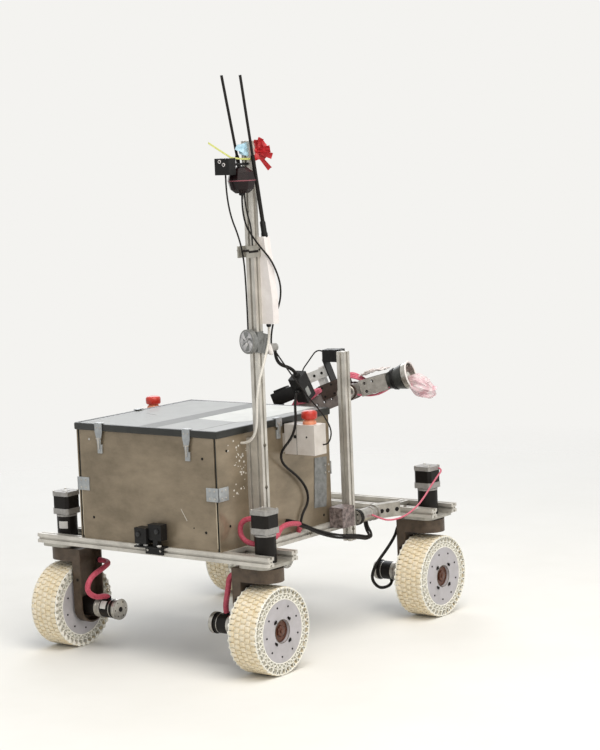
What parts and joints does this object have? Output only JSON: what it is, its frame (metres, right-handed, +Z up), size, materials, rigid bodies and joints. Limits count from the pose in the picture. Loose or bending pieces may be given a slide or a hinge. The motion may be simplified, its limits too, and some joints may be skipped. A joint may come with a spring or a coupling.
{
  "type": "planetary rover",
  "caption": "Four-wheel-steer field rover: slotted-bar frame on lattice-tyred wheels, square equipment box with lift-off lid, side mast and jointed arm.",
  "frame": {"origin": "on the ground, under the middle of the overall box; the centre line between the wheels is 30 mm to the left of it", "axes": "+X forward; +Y to the rover's left; +Z up"},
  "size_m": [0.9798, 0.86, 1.5341],
  "materials": {
    "bar": "clear anodised, satin",
    "plate": "machined aluminium plate",
    "black_motor": "black paint, satin",
    "cast_grey": "die-cast end bells",
    "fork_steel": "bent steel channel, grey-brown coat",
    "motor": "black gearmotor with bright rings",
    "printed_tyre": "ivory flexible print",
    "disc": "pale grey discs",
    "sheet": "brushed sheet aluminium",
    "rubber_black": "black edge trim",
    "black_plastic": "black plastic",
    "white_plastic": "white plastic",
    "lid_sheet": "light sheet with bands of tape",
    "latch": "plated draw latch",
    "stop_red": "red mushroom head",
    "stop_box": "pale grey box",
    "beacon": "dark red housing",
    "antenna": "black whip",
    "battery": "battery pack",
    "mottled": "grey-pink connector box",
    "silver": "bright gearmotor",
    "arm_metal": "perforated channel",
    "dark_metal": "dark wrist",
    "cable": "black cable jacket",
    "sleeve": "pink braided sleeve",
    "bag": "crumpled film bag",
    "lamp": "bright reflector with black rim"
  },
  "bodies": {
    "chassis": {"rear_crossbars": "bar", "front_crossbars": "bar", "side_rails": "bar", "brackets": "plate", "bearing_plates": "plate", "steer_gearboxes": "black_motor", "stepper_caps": "cast_grey", "steer_steppers": "black_motor", "box_panels": "sheet", "box_corner_posts": "black_plastic", "battery": "battery", "mast_support": "bar", "stop_boxes": "stop_box", "stop_buttons": "stop_red", "uprights": "bar", "mast_clamp": "plate", "black_housings": "black_plastic", "cables": "cable", "beacon": "beacon", "radio": "white_plastic", "antennas": "antenna", "mast_lamp": "lamp", "connector_box": "mottled", "sampler_motor": "silver", "sampler_channel": "plate", "arm_column": "plate"},
    "lid": {"lid_sheet": "lid_sheet", "lid_trim": "rubber_black", "latch_hooks": "latch"},
    "turret": {"arm_turret": "plate", "shoulder_motor": "black_motor"},
    "upper_arm": {"upper_arm": "arm_metal", "elbow_bracket": "dark_metal", "elbow_motor": "silver", "camera_boom": "white_plastic", "arm_camera": "black_plastic"},
    "forearm": {"forearm": "arm_metal", "wrist_cone": "dark_metal"},
    "hand": {"wrist_bowl": "silver", "gripper": "bag"},
    "steer_rear_left": {"fork_rear_left": "fork_steel", "drive_motor_rear_left": "motor", "motor_sleeve_rear_left": "sleeve"},
    "wheel_rear_left": {"tyre_rear_left": "printed_tyre", "wheel_hub_rear_left": "disc"},
    "steer_rear_right": {"fork_rear_right": "fork_steel", "drive_motor_rear_right": "motor", "motor_sleeve_rear_right": "sleeve"},
    "wheel_rear_right": {"tyre_rear_right": "printed_tyre", "wheel_hub_rear_right": "disc"},
    "steer_front_left": {"fork_front_left": "fork_steel", "drive_motor_front_left": "motor", "motor_sleeve_front_left": "cable"},
    "wheel_front_left": {"tyre_front_left": "printed_tyre", "wheel_hub_front_left": "disc"},
    "steer_front_right": {"fork_front_right": "fork_steel", "drive_motor_front_right": "motor", "motor_sleeve_front_right": "cable"},
    "wheel_front_right": {"tyre_front_right": "printed_tyre", "wheel_hub_front_right": "disc"}
  },
  "joints": [
    {"name": "lid_lift", "type": "slide", "parent": "chassis", "child": "lid", "axis": [0, 0, 1], "range_m": [0, 0.15]},
    {"name": "steer_rear_left", "type": "hinge", "parent": "chassis", "child": "steer_rear_left", "pos_m": [-0.375, 0.375, 0.285], "axis": [0, 0, 1], "range_deg": [-60, 60]},
    {"name": "spin_rear_left", "type": "hinge", "parent": "steer_rear_left", "child": "wheel_rear_left", "pos_m": [-0.375, 0.375, 0.115], "axis": [0, 1, 0], "continuous": true},
    {"name": "steer_rear_right", "type": "hinge", "parent": "chassis", "child": "steer_rear_right", "pos_m": [-0.375, -0.315, 0.285], "axis": [0, 0, 1], "range_deg": [-60, 60]},
    {"name": "spin_rear_right", "type": "hinge", "parent": "steer_rear_right", "child": "wheel_rear_right", "pos_m": [-0.375, -0.315, 0.115], "axis": [0, 1, 0], "continuous": true},
    {"name": "steer_front_left", "type": "hinge", "parent": "chassis", "child": "steer_front_left", "pos_m": [0.375, 0.375, 0.285], "axis": [0, 0, 1], "range_deg": [-60, 60]},
    {"name": "spin_front_left", "type": "hinge", "parent": "steer_front_left", "child": "wheel_front_left", "pos_m": [0.375, 0.375, 0.115], "axis": [0, 1, 0], "continuous": true},
    {"name": "steer_front_right", "type": "hinge", "parent": "chassis", "child": "steer_front_right", "pos_m": [0.375, -0.315, 0.285], "axis": [0, 0, 1], "range_deg": [-60, 60]},
    {"name": "spin_front_right", "type": "hinge", "parent": "steer_front_right", "child": "wheel_front_right", "pos_m": [0.375, -0.315, 0.115], "axis": [0, 1, 0], "continuous": true},
    {"name": "arm_turn", "type": "hinge", "parent": "chassis", "child": "turret", "pos_m": [0.165, 0.03, 0.474], "axis": [0, 0, 1], "range_deg": [-12, 150]},
    {"name": "shoulder", "type": "hinge", "parent": "turret", "child": "upper_arm", "pos_m": [0.165, 0.03, 0.573], "axis": [-0.9703, -0.2419, 0], "range_deg": [-25, 60]},
    {"name": "elbow", "type": "hinge", "parent": "upper_arm", "child": "forearm", "pos_m": [0.21695, -0.17835, 0.65542], "axis": [-0.9703, -0.2419, 0], "range_deg": [-50, 60]},
    {"name": "wrist_roll", "type": "hinge", "parent": "forearm", "child": "hand", "pos_m": [0.2555, -0.33299, 0.69813], "axis": [0.2337, -0.9372, 0.2588], "range_deg": [-170, 170]}
  ]
}
